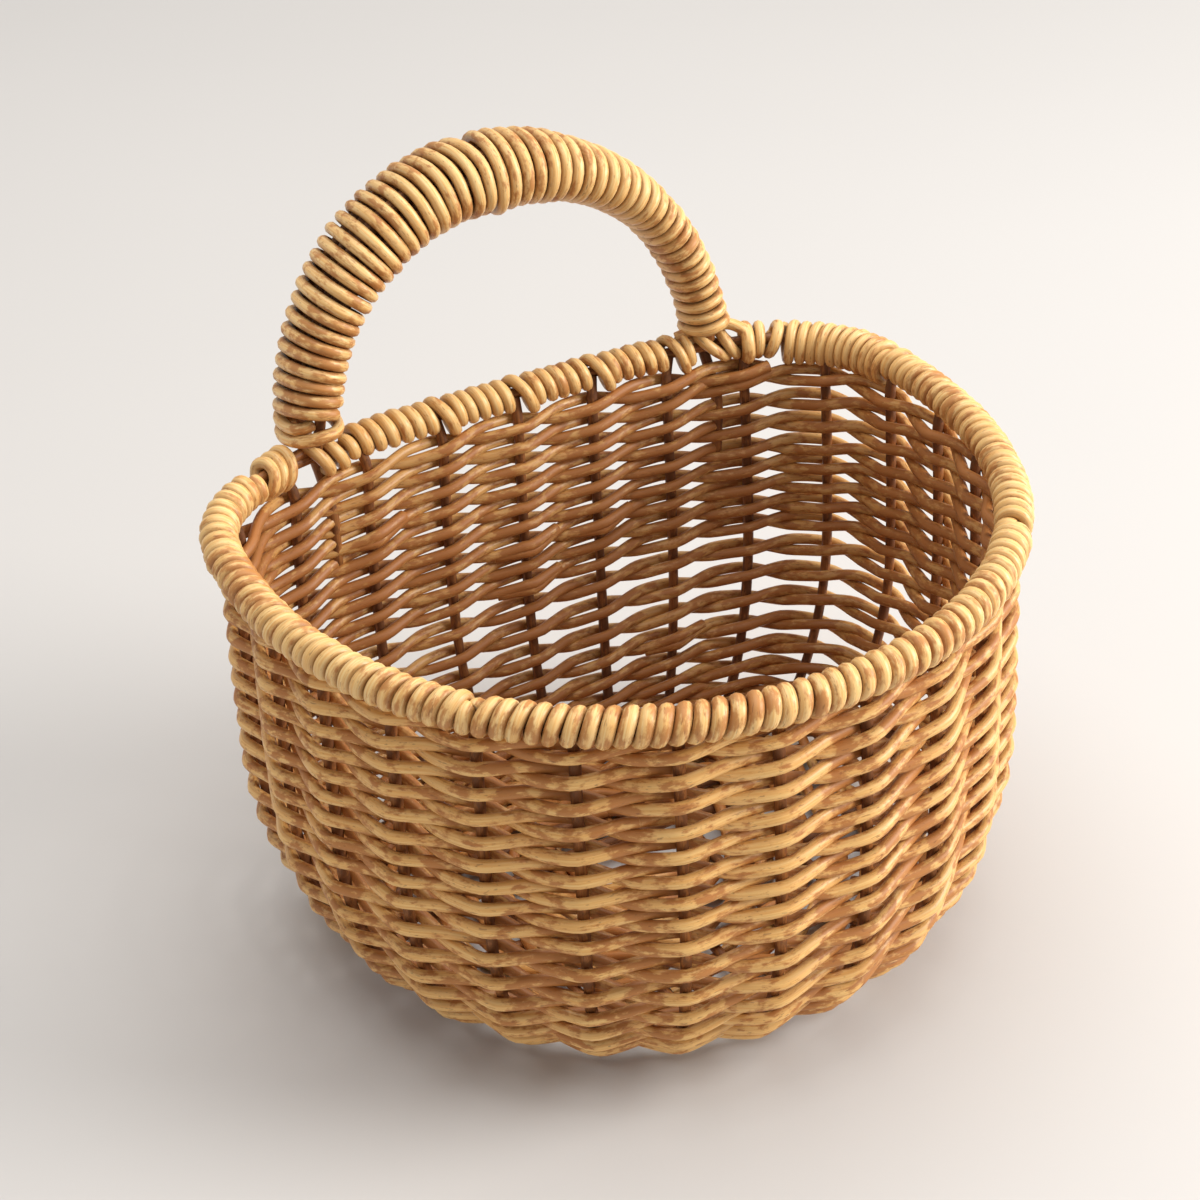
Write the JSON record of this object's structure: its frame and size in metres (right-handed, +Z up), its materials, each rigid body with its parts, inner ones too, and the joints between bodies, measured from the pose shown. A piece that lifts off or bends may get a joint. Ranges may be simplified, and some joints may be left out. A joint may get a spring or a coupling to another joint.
{
  "type": "half-round hanging rattan basket",
  "caption": "Half-round hanging basket twined from round rattan core, with a flat back, a bound rim and a wrapped arch handle fixed over the back.",
  "frame": {"origin": "middle of the underside of the basket's box, on the surface that the basket stands on", "axes": "+Z up, +X to the right seen from the round front, +Y towards the flat back that carries the handle"},
  "size_m": [0.1854, 0.1698, 0.1731],
  "materials": {
    "weave": "satin natural rattan core, twined",
    "stake": "matt browner rattan rods",
    "binding": "satin natural rattan core, wound",
    "core": "matt brown rattan core"
  },
  "bodies": {
    "root": {"woven_wall": "weave", "woven_base": "weave", "stake_01": "stake", "stake_02": "stake", "stake_03": "stake", "stake_04": "stake", "stake_05": "stake", "stake_06": "stake", "stake_07": "stake", "stake_08": "stake", "stake_09": "stake", "stake_10": "stake", "stake_11": "stake", "stake_12": "stake", "stake_13": "stake", "stake_14": "stake", "stake_15": "stake", "stake_16": "stake", "stake_17": "stake", "stake_18": "stake", "stake_19": "stake", "stake_20": "stake", "stake_21": "stake", "stake_22": "stake", "stake_23": "stake", "stake_24": "stake", "stake_25": "stake", "base_stick_along_1": "stake", "base_stick_along_2": "stake", "base_stick_along_3": "stake", "base_stick_across_1": "stake", "base_stick_across_2": "stake", "base_stick_across_3": "stake", "base_stick_across_4": "stake", "base_stick_across_5": "stake", "rim_hoop": "core", "rim_binding_back": "binding", "rim_binding_front": "binding", "rim_binding_side_1": "binding", "rim_binding_side_2": "binding", "rim_binding_side_3": "binding", "rim_binding_side_4": "binding", "handle_cane_1": "core", "handle_cane_2": "core", "handle_cane_3": "core", "handle_cane_4": "core", "handle_cane_5": "core", "handle_winding_left": "binding", "handle_winding_right": "binding", "foot_tie_left": "binding", "foot_tie_right": "binding"}
  },
  "joints": []
}
